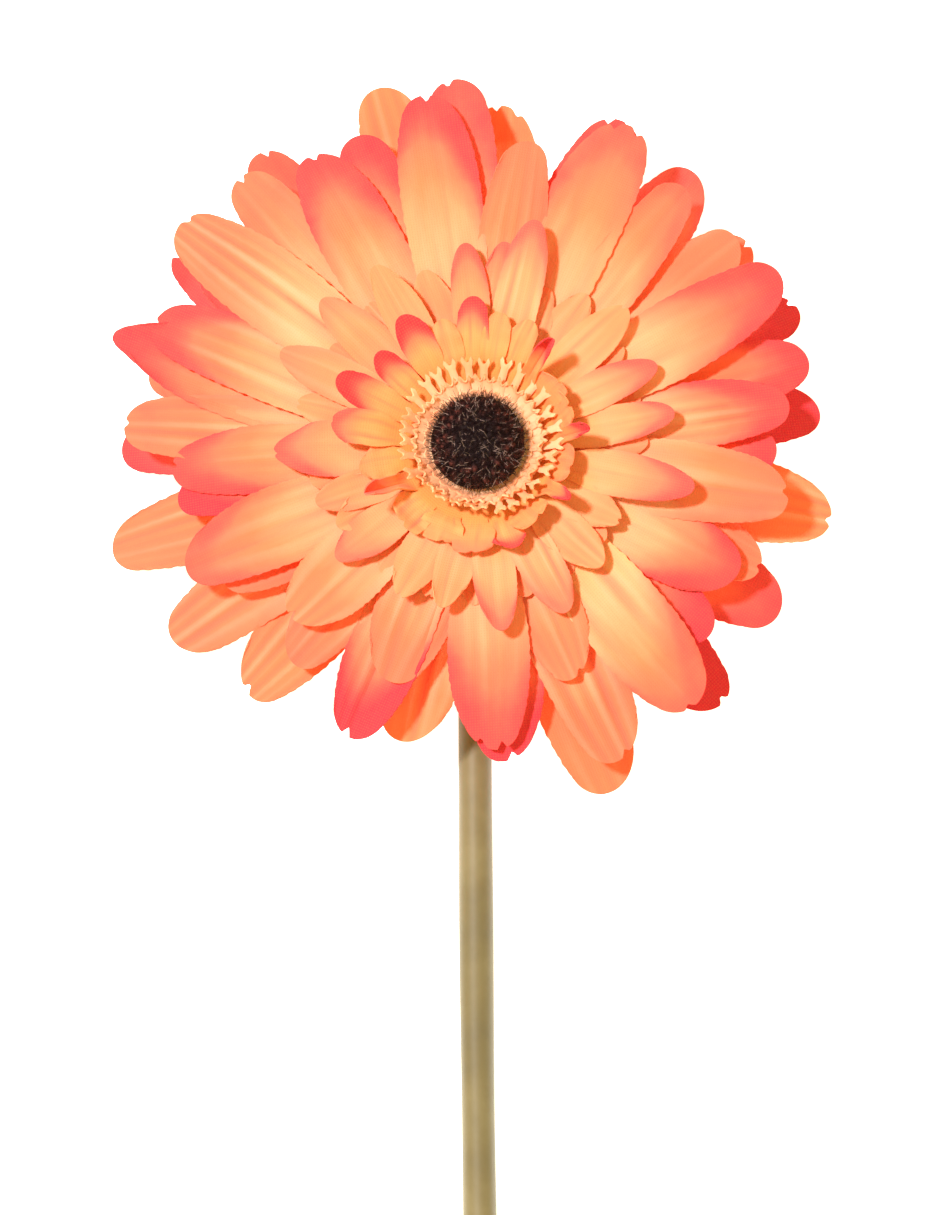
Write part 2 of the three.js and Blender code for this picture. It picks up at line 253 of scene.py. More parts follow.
def pressed_point(whorl, petal, s, t, out, across):
    """Where the heat press and the hand that shaped it leave a point of the flat cloth."""
    z = whorl_height(whorl, out)
    if s > 0:
        f = ease(s, 0.0, 0.35)
        across = across * mix(1, petal["pinch"], f) + petal["sway"] * s * s
        z += petal["level"] * f
        z += (petal["lift"] + petal["stand"]) * s * f
        z += petal["arch"] * 4 * s * (1 - s) * f
        z += petal["cup"] * t * t * f * (1.15 - 0.55 * s)
        z += petal["fold"] * abs(t) * f
        z += petal["twist"] * across * f * (0.4 + 0.6 * s)
        z += petal["curl"] * ease(s, 0.6, 1.0) ** 1.5
        z += petal["roll"] * ease(abs(t), 0.55, 1.0) * f * math.sin(5 * s + petal["phase"])
        z += 0.12 * math.sin(17 * s + petal["phase"]) * t * t * f
        fading = ease(s, 0.02, 0.25) * (1 - 0.7 * ease(s, 0.7, 1))
        z += whorl["ridge"] * petal["pleat"] * pleats(s, t, petal) * fading
    x, y = turned(petal["at"], out, across)
    return x, y, max(z, floor_height(x, y, whorl["thickness"] + FLOOR_GAP))


# %% One whorl as one piece of cloth
SEAM = 0.004  # mm within which neighbouring petals' shared points are joined


def whorl_piece(name, whorl):
    """Makes a whorl's flat cloth from its petals, measures it, and presses it into shape."""
    rows, hub_rows, across = whorl["mesh"]
    bm = bmesh.new()
    cloth = bm.loops.layers.uv.new("Cloth")
    dye = bm.verts.layers.float_color.new("Dye_and_painted_light")
    places = {}
    for petal in whorl["petals"]:
        grid = bmesh.ops.create_grid(bm, x_segments=rows + hub_rows, y_segments=across, size=1)
        for v in grid["verts"]:
            row = round((v.co.x + 1) / 2 * (rows + hub_rows)) - hub_rows
            s = row / rows if row >= 0 else row / hub_rows
            t = v.co.y
            out, side = flat_point(whorl, petal, s, t)
            places[v] = (petal, s, t, out, side)
            v.co = (*turned(petal["at"], out, side), 0)
            sprayed = s + 0.2 * t * t + 0.14 * petal["spray_side"] * t
            tip = petal["dye"] * ease(sprayed, 1 - petal["dye_length"], 1.0)
            # The third value, the pleats' height, becomes painted shade in the grooves and a painted
            # highlight on the crests in the cloth's colour.
            painted_pleat_light = 0.5 + 0.5 * pleats(s, t, petal) * petal["pleat"] * ease(s, 0.0, 0.2)
            v[dye] = (max(0.0, s), tip, painted_pleat_light, petal["tone"])
    area = sum(f.calc_area() for f in bm.faces) * MM * MM
    for face in bm.faces:
        for loop in face.loops:
            petal, s, t, out, side = places[loop.vert]
            loop[cloth].uv = (out / 10, side / 10 + petal["tone"])
    for v, place in places.items():
        v.co = from_head(*pressed_point(whorl, *place))
    bmesh.ops.remove_doubles(bm, verts=bm.verts, dist=SEAM * MM)
    piece = thicken(keep(bm, name, [whorl["node"]]), whorl["thickness"])
    return piece, area


# %% [markdown]
# ## The petals
# No two petals of a silk flower sit alike once it has been unpacked and shaped by hand. Each
# petal here has its own direction, length and width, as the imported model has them, its own tip,
# and its own share of the pink that is airbrushed on the ends. What nobody would choose one by
# one, such as a small twist or curl, is drawn from a seeded generator.

# %% Petal lists: direction in degrees, reach and width in mm, points at the tip, pink
# A petal that was bent or folded by hand has its own shaping after these.
FRONT_PETALS = [
    (9, 48, 10.5, 1, 1.0), (29, 53.5, 12, 1, 0.95), (52, 52, 9.5, 1, 0.7),
    (67, 56.5, 13.5, 3, 0.75), (82, 49, 10, 1, 0.6), (99, 57.5, 12.5, 2, 1.0),
    (120, 54.5, 12.5, 2, 0.95), (142, 60, 12.5, 2, 0.5), (158, 55.5, 11.5, 2, 0.95),
    (182, 48, 10.5, 2, 0.95), (201, 49, 12, 1, 0.8), (223, 39, 12, 2, 0.3),
    (248, 38.5, 12, 1, 0.55), (273, 46.5, 12.5, 3, 0.95), (293, 38.5, 10, 2, 0.4),
    (310, 51.5, 13.5, 2, 0.75), (333, 44, 12.5, 1, 0.95), (350, 48, 12, 2, 0.6),
]
MIDDLE_PETALS = [
    (17, 52.5, 11, 1, 1.0), (40, 52, 11, 1, 0.5), (69, 57.5, 12.5, 3, 0.9),
    (95, 60.5, 12, 2, 0.9), (112, 55, 11, 1, 1.0), (131, 58.5, 10.5, 2, 0.6),
    (146, 53.5, 10.5, 1, 0.9),
    (164, 61, 13, 1, 1.0, {"point": 0.8, "curl": 1.4, "sway": -3, "level": -0.7}),
    (174, 56, 11, 2, 0.6), (187, 47.5, 10, 1, 1.15), (206, 44.5, 11, 1, 0.6),
    (227, 43.5, 11, 1, 0.6), (245, 48.5, 12.5, 2, 1.2, {"fold": 1.4, "pinch": 0.95, "level": -0.6}),
    (275, 48, 13, 2, 1.1), (294, 52, 12.5, 2, 0.5), (321, 45.5, 11, 1, 1.1),
    (339, 46.5, 11, 2, 0.5), (359, 45.5, 11, 1, 1.0),
]
BACK_PETALS = [
    (10, 52.5, 11, 1, 1.2), (27, 54.5, 10.5, 2, 1.2), (40, 54, 10, 2, 0.6),
    (54, 57, 12.5, 1, 0.8), (87, 57.5, 12.5, 3, 0.1), (105, 62.5, 12.5, 1, 0.1),
    (125, 61.5, 10.5, 2, 0.75), (147, 60, 12, 2, 0.95, {"sway": -2.5}), (163, 55, 11, 1, 0.6),
    (176, 57.5, 11, 1, 1.0), (192, 60, 12.5, 1, 0.45), (209, 56, 12.5, 1, 0.5),
    (224, 51.5, 13, 2, 0.35), (255, 45.5, 13, 1, 0.05), (292, 55, 14.5, 1, 0.3),
    (313, 52.5, 13, 2, 1.15), (332, 51.5, 12.5, 1, 0.95), (351, 54.5, 13, 2, 0.1),
]
UPPER_SHORT_PETALS = [
    (8, 30.5, 6, 1, 0.85), (25, 30, 6, 1, 0.85), (43, 31, 7, 2, 0.05), (75, 36, 7.2, 1, 0.8),
    (93, 31.5, 6, 1, 0.85), (119, 32, 6.5, 1, 0.1), (136, 33.5, 7, 1, 0.5),
    (154, 34, 7, 1, 0.5), (181, 31.5, 9, 2, 0.9), (200, 26.5, 6, 1, 0.4),
    (220, 28, 7, 1, 0.75), (243, 26.5, 7, 2, 0.05), (260, 26, 6.2, 1, 0.1),
    (277, 29.5, 6.6, 1, 0.8), (297, 29.5, 7, 1, 0.7), (314, 27, 7, 1, 0.05),
    (330, 25, 6.4, 2, 0.05), (348, 34, 7.2, 1, 0.9),
]
LOWER_SHORT_PETALS = [
    (1, 26, 6.2, 1, 0.2), (19, 26, 6.2, 1, 0.2), (36, 27, 7, 2, 0.05), (55, 29, 7, 1, 0.05),
    (67, 27, 6, 1, 0.2), (84, 32, 6.2, 1, 0.8), (107, 29, 7, 1, 0.05),
    (127, 28.5, 6.6, 2, 0.05), (146, 28, 7, 1, 0.1), (167, 29, 7, 2, 0.1), (190, 26.5, 7, 1, 0.2),
    (209, 25, 6.6, 1, 0.1), (231, 24.5, 6.6, 1, 0.1), (251, 24.5, 6.4, 2, 0.05),
    (268, 24.5, 6.4, 1, 0.1), (287, 24.5, 6.4, 1, 0.2), (306, 24.5, 6.4, 2, 0.05),
    (323, 24.5, 6.4, 1, 0.05),
]
UPRIGHT = {"stand": 3.4, "lift": 0.5, "curl": -0.4, "round": 0.25}
FOLDED = {"stand": 3.6, "lift": 0.8, "fold": 1.8, "pinch": 0.5, "curl": 0.5}
RUFFLED = {"round": 0.3, "roll": 0.5}
CUP_PETALS = [
    (4, 17.5, 4.6, 1, 1.2, FOLDED), (21, 15.2, 6.2, 2, 0.1, UPRIGHT),
    (37, 15.4, 6, 2, 0.3, UPRIGHT), (53, 19, 5, 1, 1.25, FOLDED), (68, 20.5, 4.6, 1, 0.1),
    (81, 20.5, 4.4, 2, 0.05), (93, 22.5, 5, 1, 1.05), (108, 20, 5, 1, 0.1),
    (121, 22.5, 5.4, 1, 1.2), (139, 20.5, 4.4, 1, 1.1), (156, 23.5, 5.2, 1, 1.2),
    (172, 22.5, 5.6, 2, 0.8), (190, 18.5, 5.4, 1, 0.2), (208, 19, 5, 1, 0.7, FOLDED),
    (226, 17, 6.8, 2, 0.05, RUFFLED), (247, 16.4, 7.2, 2, 0.15, RUFFLED),
    (268, 17.2, 6.8, 2, 0.5, RUFFLED), (287, 17.6, 5.6, 1, 1.0, {"curl": 1.4}),
    (305, 15.6, 6.4, 2, 0.1, UPRIGHT), (327, 17.5, 4.6, 1, 1.2, FOLDED),
    (346, 15.2, 6.2, 2, 0.3, UPRIGHT),
]


# %% What the shaping by hand adds
def shaped(rows, seed, loose, dye_length):
    """Turns a list's rows into petals, with "loose" as the size of their chance shaping in mm."""
    chance = random.Random(seed)
    petals = []
    for i, (at, reach, wide, points, pink, *own) in enumerate(rows):
        before = (at - rows[i - 1][0]) % 360
        after = (rows[(i + 1) % len(rows)][0] - at) % 360
        nicks = {1: [], 2: [chance.uniform(-0.3, 0.3)], 3: [-0.38, 0.34]}[points]
        petal = {
            "at": at, "reach": reach, "wide": wide, "dye": pink,
            "left": after / 2, "right": before / 2,
            "nicks": nicks, "nick_depth": 0.09 * wide * chance.uniform(0.7, 1.3),
            "skew": 0.09 * wide * chance.uniform(-1, 1), "point": 0.0, "round": 1.0,
            "level": loose * (0.3 if i % 2 else -0.25), "stand": 0.0,
            "lift": loose * chance.uniform(-0.8, 1.4),
            "arch": loose * chance.uniform(-0.25, 0.6),
            "cup": loose * chance.uniform(-0.4, 0.9), "fold": 0.0, "pinch": 1.0,
            "sway": loose * chance.uniform(-1, 1),
            "twist": 0.17 * chance.uniform(-1, 1),
            "curl": loose * chance.uniform(-2.4, 1.2),
            "roll": 0.4 * loose * chance.uniform(0.2, 1),
            "pleat": chance.uniform(0.35, 1.0), "off_line": chance.uniform(-0.22, 0.22),
            "phase": chance.uniform(0, 6.28),
            "dye_length": dye_length * chance.uniform(0.7, 1.25),
            "spray_side": chance.uniform(-1, 1),
            "tone": chance.random(),
        }
        for bend in own:
            petal.update(bend)
        petals.append(petal)
    return petals


# %% The six whorls, from the back to the front
HUB_PITCH = 1.1  # from one whorl to the next at the post, in mm
LONG_SHAPE = {"claw": 5.0, "belly": 0.6, "blunt": 0.72, "round": 0.42, "joined": 0.3}
SHORT_SHAPE = {"claw": 3.6, "belly": 0.55, "blunt": 0.62, "round": 0.55, "joined": 0.35}
CUP_SHAPE = {"claw": 3.0, "belly": 0.5, "blunt": 0.8, "round": 0.5, "joined": 0.3}
CLOTH_THICKNESS = 0.22
LONG = {"rim": 10.0, "shape": LONG_SHAPE, "thickness": CLOTH_THICKNESS, "mesh": (78, 4, 24)}
SHORT = {"rim": 10.0, "shape": SHORT_SHAPE, "thickness": CLOTH_THICKNESS, "mesh": (40, 4, 16)}
CUP = {"rim": 11.5, "shape": CUP_SHAPE, "thickness": CLOTH_THICKNESS, "mesh": (26, 8, 12)}


def whorl(cloth, node, petals, level, lift, span, bow, ridge):
    """A whorl's petals and cloth, with its hub "level" pitches up the post.

    It rises by "lift" over its span and arches by "bow", and its pleats are "ridge" mm high.
    """
    return {**cloth, "node": node, "petals": petals, "hub": level * HUB_PITCH, "lift": lift,
            "span": span, "bow": bow, "ridge": ridge}


back = shaped(BACK_PETALS, 11, 1.0, 0.55)
middle = shaped(MIDDLE_PETALS, 12, 0.8, 0.52)
front = shaped(FRONT_PETALS, 13, 0.8, 0.5)
lower_short = shaped(LOWER_SHORT_PETALS, 14, 0.6, 0.45)
upper_short = shaped(UPPER_SHORT_PETALS, 15, 0.6, 0.45)
cup = shaped(CUP_PETALS, 16, 0.5, 0.6)
whorls = [
    whorl(LONG, "back_whorl", back, 0, lift=-11, span=56, bow=2.5, ridge=0.5),
    whorl(LONG, "middle_whorl", middle, 1, lift=-2.5, span=52, bow=1.8, ridge=0.5),
    whorl(LONG, "front_whorl", front, 2, lift=-0.5, span=52, bow=2, ridge=0.52),
    whorl(SHORT, "lower_short_whorl", lower_short, 3, lift=3.3, span=31, bow=0.2, ridge=0.12),
    whorl(SHORT, "upper_short_whorl", upper_short, 4, lift=4.4, span=31, bow=0.2, ridge=0.14),
    whorl(CUP, "cup_whorl", cup, 5, lift=7, span=23, bow=0, ridge=0.1),
]
for made in whorls:
    name = made["node"].replace("whorl", "petals")
    piece, area = whorl_piece(name, made)

# %% [markdown]
# ## Bracts and calyx
# Under the petals two rings of small pointed leaves spread from the calyx, the moulded cup that
# takes the stem. The leaves are made as the petals are, thicker and with a single vein, and the
# cup is turned from its profile.

# %% Two rings of bracts
BRACT_SHAPE = {"claw": 3.2, "belly": 0.3, "blunt": 0.18, "round": 0.3, "joined": 0.3}
BRACT_SHEET = {"rim": HUB_FLAT, "shape": BRACT_SHAPE, "thickness": 0.5, "mesh": (10, 3, 6)}
BRACT_PITCH = 1.2  # from one ring to the next, in mm
BRACTS = 12


def bract_ring(node, steps, lift, reach, wide, start, seed):
    """A ring of leaves whose hub is "steps" bract pitches below the back whorl's."""
    rows = [(start + i * 360 / BRACTS, reach, wide, 1, 0.0) for i in range(BRACTS)]
    leaves = shaped(rows, seed, 0.25, 0.5)
    level = -steps * BRACT_PITCH / HUB_PITCH
    made = whorl(BRACT_SHEET, node, leaves, level, lift, reach, bow=0, ridge=0.12)
    whorl_piece(node.replace("bracts", "sepals"), made)


bract_ring("outer_bracts", 2, lift=-2.2, reach=14, wide=3.6, start=10, seed=21)
bract_ring("inner_bracts", 1, lift=-1.6, reach=17, wide=3.8, start=25, seed=22)

# %% The calyx cup
# Radius and height, in mm: the stem's socket, the outside from its mouth up, and the post's seat.
SOCKET_RADIUS = 3.05
SOCKET_TOP = -CALYX_LENGTH + SOCKET_DEPTH
SEAT = SOCKET_TOP + CALYX_WEB
CALYX_TOP = -3.05
POLE = 0.001
calyx_profile = [
    (POLE, SOCKET_TOP), (SOCKET_RADIUS, SOCKET_TOP), (SOCKET_RADIUS, -CALYX_LENGTH),
    (3.8, -CALYX_LENGTH), (3.95, -9.6), (4.05, -8.0), (4.4, -6.8), (5.2, -5.6), (6.3, -4.7),
    (7.2, -4.0), (7.5, -3.5), (7.4, CALYX_TOP), (BORE, CALYX_TOP), (BORE, SEAT), (POLE, SEAT),
]
RIBS = 12
RIB_DEPTH = 0.03  # as a share of the radius
bm = bmesh.new()
line = [bm.verts.new((r, 0, z)) for r, z in calyx_profile]
edges = [bm.edges.new(pair) for pair in zip(line, line[1:])]
bmesh.ops.spin(bm, geom=line + edges, cent=(0, 0, 0), axis=(0, 0, 1), angle=math.tau, steps=72,
               use_merge=True)
bmesh.ops.remove_doubles(bm, verts=bm.verts, dist=0.01)
bmesh.ops.recalc_face_normals(bm, faces=bm.faces)
for v in bm.verts:
    r = math.hypot(v.co.x, v.co.y)
    if r > SOCKET_RADIUS + 0.45:
        rib = 1 + RIB_DEPTH * math.cos(RIBS * math.atan2(v.co.y, v.co.x))
        v.co.x *= rib
        v.co.y *= rib
    v.co = from_head(*v.co)
keep(bm, "calyx", ["calyx_cup"])

# %% [markdown]
# ## Florets
# Real gerberas have rings of tiny tubular flowers round the eye. Here they are moulded rings of
# forked straps. A strap is a small grid that widens and splits at its end, and each ring is
# turned out of one strap many times.

# %% One forked strap
FORK_DEPTH = 1.15  # from the points of the fork back to its crotch, in mm
FORK_SPREAD = 1.0  # how much wider the fork is than its strap
HORN_PLACE = 0.7  # the horns' middles, as a share of half the fork's width


def strap(bm, length, wide, place):
    """A strap along +X whose end forks into two blunt horns, laid by the matrix "place"."""
    grid = bmesh.ops.create_grid(bm, x_segments=9, y_segments=8, size=1)
    for v in grid["verts"]:
        s = (v.co.x + 1) / 2
        t = v.co.y
        fork = ease(s, 0.6, 1.0)
        horn = math.exp(-(((abs(t) - HORN_PLACE) / 0.34) ** 2))
        half = wide * (0.55 - 0.1 * ease(s, 0.0, 0.5)) + 0.5 * FORK_SPREAD * fork * fork
        x = length * s - FORK_DEPTH * fork * (1 - horn)
        z = -0.2 * t * t * (1 - fork) + 0.25 * s * s + 0.15 * fork * abs(t)
        v.co = place @ Vector((x, half * t, z))


# %% A ring of straps
SKIRT = 2.3  # how far the straps stay joined, in mm
FLORETS = 30
OPEN_SIDE = math.radians(75)  # where the florets lie most open
RING_SEGMENTS = 120
FLORET_THICKNESS = 0.3
COLLAR_SLOPE = math.radians(55)
COLLAR_GAP = 0.45  # from the button to the collar that it sits in


def opened(slope, angle, upright):
    """The florets lie open at the top of the head and stand more upright opposite."""
    return slope + upright * (1 - math.cos(angle - OPEN_SIDE)) / 2


def cone_wall(bm, edges, width, slope, upright, scallop):
    """Draws a circle's edges out and up into a wall, with its free rim scalloped."""
    grown = bmesh.ops.extrude_edge_only(bm, edges=edges)
    for v in grown["geom"]:
        if isinstance(v, bmesh.types.BMVert):
            angle = math.atan2(v.co.y, v.co.x)
            wave = width * (1 + scallop * math.cos(FLORETS * angle))
            rise = opened(slope, angle, upright)
            v.co += Vector((v.co.x, v.co.y, 0)).normalized() * wave * math.cos(rise)
            v.co.z += wave * math.sin(rise)


def circle(bm, radius):
    """Adds a ring of edges, and gives them back."""
    made = bmesh.ops.create_circle(bm, segments=RING_SEGMENTS, radius=radius)
    verts = set(made["verts"])
    return [e for e in bm.edges if e.verts[0] in verts]


def floret_ring(name, node, foot, disc, start_at, length, wide, slope, upright, turn, seed, collar=0):
    """A disc of radius "disc" with a skirt, and florets that start at "start_at" from the post."""
    chance = random.Random(seed)
    bm = bmesh.new()
    level = foot + FLORET_THICKNESS
    rim = circle(bm, disc)
    circle(bm, BORE)
    bmesh.ops.bridge_loops(bm, edges=list(bm.edges))
    slope, upright = math.radians(slope), math.radians(upright)
    cone_wall(bm, rim, SKIRT, slope, upright, 0.12)
    if collar:
        cone_wall(bm, circle(bm, BUTTON_RADIUS + COLLAR_GAP), collar, COLLAR_SLOPE, 0, 0.25)
    for v in bm.verts:
        v.co.z += level
    for i in range(FLORETS):
        swing = math.tau * (i + turn) / FLORETS + math.radians(chance.uniform(-1.8, 1.8))
        lean = opened(slope, swing, upright) + math.radians(chance.uniform(-7, 7))
        place = (
            Matrix.Rotation(swing, 4, "Z")
            @ Matrix.Translation((start_at, 0, level))
            @ Matrix.Rotation(-lean, 4, "Y")
            @ Matrix.Rotation(math.radians(chance.uniform(-14, 14)), 4, "X")
        )
        strap(bm, length * chance.uniform(0.93, 1.07), wide, place)
    for v in bm.verts:
        v.co = from_head(*v.co)
    thicken(keep(bm, name, [node]), FLORET_THICKNESS)


# %% Two floret rings
BUTTON_RADIUS = 7.2
HALF_CLOTH = 0.25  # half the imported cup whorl's thickness
RING_THICKNESS = 0.8  # of a packed floret ring
OUTER_FOOT = 5 * HUB_PITCH + HALF_CLOTH + GAP
INNER_FOOT = OUTER_FOOT + RING_THICKNESS + GAP
floret_ring("outer_florets", "outer_floret_ring", OUTER_FOOT, disc=8.3, start_at=7.9, length=6.7,
            wide=1.15, slope=27, upright=33, turn=0.0, seed=31)
floret_ring("inner_florets", "inner_floret_ring", INNER_FOOT, disc=8.1, start_at=7.65, length=3.9,
            wide=1.1, slope=36, upright=12, turn=0.5, seed=32, collar=1.1)

# %% [markdown]
# ## The flocked button
# The eye is a low plastic dome covered with short flock over many small bumps, like packed
# buds, with longer fibres that catch the light, a few painted pale as glints. The dome is a
# sphere's cap, the bumps sit on a sunflower spiral, and each fibre is a thin three-sided spike.

# %% The dome and its bumps
BUTTON_FOOT = INNER_FOOT + RING_THICKNESS + GAP
DOME_RISE = 4.6
DOME_SKIRT = 0.8  # of that rise, how much is the straight edge under the dome
BUMP_SPREAD = 0.2  # mm2: how fast a bump falls away
BUMP_RISE = 0.55
GOLDEN = math.pi * (3 - math.sqrt(5))
BUMPS = 105
chance = random.Random(40)
bumps = []
for i in range(BUMPS):
    r = BUTTON_RADIUS * math.sqrt((i + 0.5) / BUMPS) + chance.uniform(-0.3, 0.3)
    angle = i * GOLDEN + chance.uniform(-0.3, 0.3) / max(r, 1)
    bumps.append((r * math.cos(angle), r * math.sin(angle), chance.uniform(0.25, 1.0)))


def dome_height(x, y):
    r = min(1.0, math.hypot(x, y) / BUTTON_RADIUS)
    return BUTTON_FOOT + DOME_SKIRT + (DOME_RISE - DOME_SKIRT) * math.sqrt(1 - 0.98 * r * r)


bm = bmesh.new()
dye = bm.verts.layers.float_color.new("Dye_and_painted_light")
bmesh.ops.create_uvsphere(bm, u_segments=140, v_segments=90, radius=1)
for v in bm.verts:
    flat = math.hypot(v.co.x, v.co.y)
    x, y = v.co.x * BUTTON_RADIUS, v.co.y * BUTTON_RADIUS
    bump = max(size * math.exp(-((x - a) ** 2 + (y - b) ** 2) / BUMP_SPREAD)
               for a, b, size in bumps)
    v[dye] = (flat, bump, 0.0, 0.0)
    if v.co.z >= 0:
        out = Vector((v.co.x, v.co.y, 0.25 + v.co.z)).normalized()
        v.co = Vector((x, y, dome_height(x, y))) + out * (BUMP_RISE * bump - 0.1)
    else:
        over_post = math.hypot(x, y) < BORE + 0.1
        underside = BUTTON_FOOT + DOME_SKIRT * (1 + v.co.z)
        v.co = (x, y, POST_TOP + GAP if over_post else underside)
for v in bm.verts:
    v.co = from_head(*v.co)
keep(bm, "button", ["flocked_button"])

# %% Its fibres
FIBRES = 2300
chance = random.Random(41)
bm = bmesh.new()
dye = bm.verts.layers.float_color.new("Dye_and_painted_light")
for i in range(FIBRES):
    r = BUTTON_RADIUS * math.sqrt((i + 0.5) / FIBRES)
    x, y = r * math.cos(i * GOLDEN), r * math.sin(i * GOLDEN)
    outward = Vector((x, y, 0)) / BUTTON_RADIUS
    aim = Vector((0, 0, 0.7)) + outward
    aim += Vector([chance.uniform(-1, 1) for _ in range(3)])
    aim.z = max(aim.z, 0.12)
    aim.normalize()
    length = chance.uniform(0.6, 1.5) * (1 + 0.4 * (r / BUTTON_RADIUS) ** 4)
    start = Vector((x, y, dome_height(x, y) - 0.05))
    turn = aim.to_track_quat("Z", "Y").to_matrix().to_4x4()
    place = Matrix.Translation(start + aim * length / 2) @ turn
    spike = bmesh.ops.create_cone(bm, segments=3, radius1=0.06, radius2=0.025, depth=length,
                                  cap_ends=True, matrix=place)
    # A random share per fibre: the fibre's colour paints the few highest pale, as glints.
    shade = chance.random()
    for v in spike["verts"]:
        v[dye] = (0.0, shade, 0.0, 0.0)
for v in bm.verts:
    v.co = from_head(*v.co)
keep(bm, "button_fibres", smooth=False)

# %% [markdown]
# ## The stem
# The stem is a plastic sleeve over a wire. It comes down out of the calyx, bends over at the
# neck and lies along the surface with a slow bow. The sleeve is a grid rolled round that line,
# with its wall added inwards, so that the wire shows in the cut end.

# %% The stem's line
STEM_RADIUS = 2.7
STEM_REACH = 402
STEM_BOW = 17
NECK_ADVANCE = 15
NECK_EASE = 6
NECK_SIDESTEP = 1.8
SLEEVE_IN_CALYX = SOCKET_DEPTH - GAP
hub = head / MM
neck = hub - axis * CALYX_LENGTH
landing = Vector((neck.x - NECK_SIDESTEP, neck.y - NECK_ADVANCE, STEM_RADIUS))
bend = geometry.interpolate_bezier(
    neck, neck - axis * NECK_EASE, landing + Vector((0, NECK_EASE, 0)), landing, 40)
run = geometry.interpolate_bezier(
    landing,
    Vector((landing.x, hub.y - 0.35 * STEM_REACH, STEM_RADIUS)),
    Vector((hub.x + 0.1 * STEM_BOW, hub.y - 0.7 * STEM_REACH, STEM_RADIUS)),
    Vector((hub.x + STEM_BOW, hub.y - STEM_REACH, STEM_RADIUS)), 160)
line = [neck + axis * SLEEVE_IN_CALYX] + list(bend) + list(run[1:])
print("stem", round(sum((b - a).length for a, b in zip(line, line[1:]))), "mm along its line")

# %% The sleeve
AROUND = 40
SLEEVE_WALL = 1.15
bm = bmesh.new()
rows = len(line) - 1
grid = bmesh.ops.create_grid(bm, x_segments=rows, y_segments=AROUND, size=1)
for v in grid["verts"]:
    row = round((v.co.x + 1) / 2 * rows)
    angle = math.pi * v.co.y
    along = (line[min(row + 1, rows)] - line[max(row - 1, 0)]).normalized()
    side = (Vector((1, 0, 0)) - along * along.x).normalized()
    up = along.cross(side)
    wander = 0.04 * math.sin(0.225 * row) + 0.024 * math.sin(0.31 * row + 2 * angle)
    radius = STEM_RADIUS - 0.05 + wander
    v.co = (line[row] + (side * math.cos(angle) + up * math.sin(angle)) * radius) * MM
bmesh.ops.remove_doubles(bm, verts=bm.verts, dist=0.01 * MM)
bmesh.ops.recalc_face_normals(bm, faces=bm.faces)
thicken(keep(bm, "stem", ["stem_sleeve"]), SLEEVE_WALL, -1.0)

# %% [markdown]
# ## Materials
# Each finish is named for what it is. Colours are given as they look on a screen, and one
# function turns them to the linear values that Blender works with. One more function adds a
# node with its settings and links.

# %% Colour and node helpers
def linear(code):
    """An sRGB hex code as linear red, green, blue and alpha."""
    parts = [int(code[i:i + 2], 16) / 255 for i in (1, 3, 5)]
    return [c / 12.92 if c <= 0.04045 else ((c + 0.055) / 1.055) ** 2.4 for c in parts] + [1.0]


def add(tree, kind, links=(), **settings):
    """Adds a node: settings are its properties, or its sockets where the name is a socket's."""
    node = tree.nodes.new(kind)
    for key, value in settings.items():
        if hasattr(node, key):
            setattr(node, key, value)
        else:
            node.inputs[key.replace("_", " ")].default_value = value
    for socket, source in dict(links).items():
        tree.links.new(source, node.inputs[socket])
    return node


def new_material(name):
    made = bpy.data.materials.new(name)
    made.use_nodes = True
    made.node_tree.nodes.clear()
    return made, made.node_tree


def dress(material, *names):
    for name in names:
        piece = shown.get(name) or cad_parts[name]
        piece.data.materials.clear()
        piece.data.materials.append(material)
    print(material.name, "on", *names)


# %% [markdown]
# ### Dyed polyester cloth
# Silk flowers are cut from a fine polyester weave, starched, dyed in bulk and airbrushed at the
# tips. Light goes through it, so the shadow side glows orange. That takes a translucent shader
# beside the usual one. The weave is drawn at 0.4 mm a thread, coarser than the real 0.2 mm, so
# that it can be seen.

# %% Dyed cloth
THREAD = 0.04  # a drawn thread's width in the cloth map's units of 10 mm
WAVE_PERIOD = 0.314  # the width of one band of a wave texture of scale 1


def weave_of(tree, seat):
    """Two sets of threads across each other, and the fuzz that stands on them."""
    scale = WAVE_PERIOD / THREAD
    threads = [add(tree, "ShaderNodeTexWave", {"Vector": seat}, bands_direction=way, Scale=scale,
                   Distortion=0.6) for way in ("X", "Y")]
    weave = add(tree, "ShaderNodeMath", {i: t.outputs["Fac"] for i, t in enumerate(threads)},
                operation="MAXIMUM")
    fuzz = add(tree, "ShaderNodeTexNoise", {"Vector": seat}, Scale=22.0, Detail=3.0)
    both = add(tree, "ShaderNodeMath", {0: fuzz.outputs["Fac"], 1: weave.outputs[0]},
               operation="ADD")
    return both.outputs[0]


def blend(tree, share, below, above):
    """Mixes a colour over another: a colour is a hex code or a node's output."""
    node = add(tree, "ShaderNodeMix", {"Factor": share}, data_type="RGBA")
    for socket, colour in (("A", below), ("B", above)):
        if isinstance(colour, str):
            node.inputs[socket].default_value = linear(colour)
        else:
            tree.links.new(colour, node.inputs[socket])
    return node.outputs["Result"]
